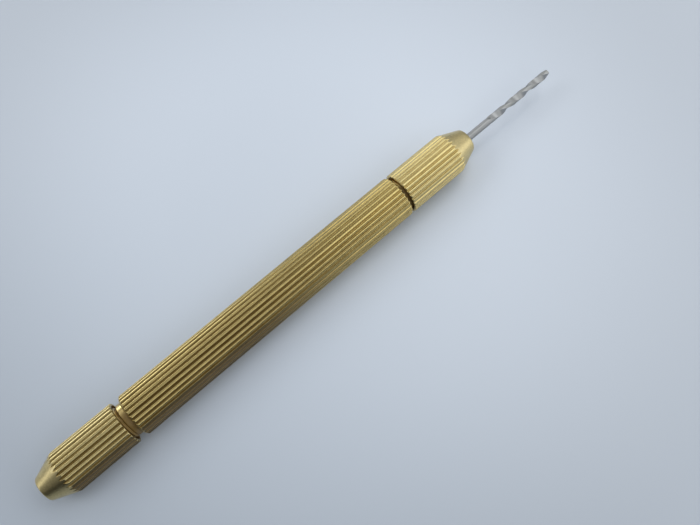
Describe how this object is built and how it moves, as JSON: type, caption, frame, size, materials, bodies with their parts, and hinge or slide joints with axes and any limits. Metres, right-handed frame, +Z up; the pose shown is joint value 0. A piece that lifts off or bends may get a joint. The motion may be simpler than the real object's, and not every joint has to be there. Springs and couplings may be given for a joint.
{
  "type": "double-ended pin vise hand drill",
  "caption": "Slim knurled brass hand drill with a screw-down collet chuck at each end and a small twist drill in the front one.",
  "frame": {"origin": "middle of the footprint, on the surface that the tool lies on, with the drill's length counted in", "axes": "+X along the tool's axis towards the drill's point, +Z up"},
  "size_m": [0.1282, 0.009, 0.0089],
  "materials": {
    "knurled_brass": "satin brass with a straight knurl",
    "turned_brass": "turned brass with a cut thread",
    "collet_brass": "fine turned brass",
    "cap_brass": "satin brass, knurled with a smooth turned nose",
    "drill_steel": "bright ground tool steel"
  },
  "bodies": {
    "handle": {"barrel": "knurled_brass", "front_chuck_stud": "turned_brass", "rear_chuck_stud": "turned_brass"},
    "front_collet": {"front_collet": "collet_brass"},
    "front_cap": {"front_nose_cap": "cap_brass"},
    "rear_collet": {"rear_collet": "collet_brass"},
    "rear_cap": {"rear_nose_cap": "cap_brass"},
    "drill": {"drill_bit": "drill_steel"}
  },
  "joints": [
    {"name": "front_collet_slide", "type": "slide", "parent": "handle", "child": "front_collet", "axis": [1, 0, 0], "range_m": [0, 0.00825]},
    {"name": "front_cap_spin", "type": "hinge", "parent": "front_collet", "child": "front_cap", "pos_m": [0.0401, 0, 0.00447], "axis": [1, 0, 0], "range_deg": [0, 3960.1]},
    {"name": "rear_collet_slide", "type": "slide", "parent": "handle", "child": "rear_collet", "axis": [-1, 0, 0], "range_m": [-0.0011, 0.00715]},
    {"name": "rear_cap_spin", "type": "hinge", "parent": "rear_collet", "child": "rear_cap", "pos_m": [-0.0641, 0, 0.00447], "axis": [-1, 0, 0], "range_deg": [-528.1, 3432.1]},
    {"name": "drill_bit_slide", "type": "slide", "parent": "front_collet", "child": "drill", "axis": [1, 0, 0], "range_m": [-0.0066, 0.0165]}
  ],
  "couplings": [
    {"joint": "front_cap_spin", "follows": "front_collet_slide", "rad_per_m": 8377.6},
    {"joint": "rear_cap_spin", "follows": "rear_collet_slide", "rad_per_m": 8377.6}
  ]
}
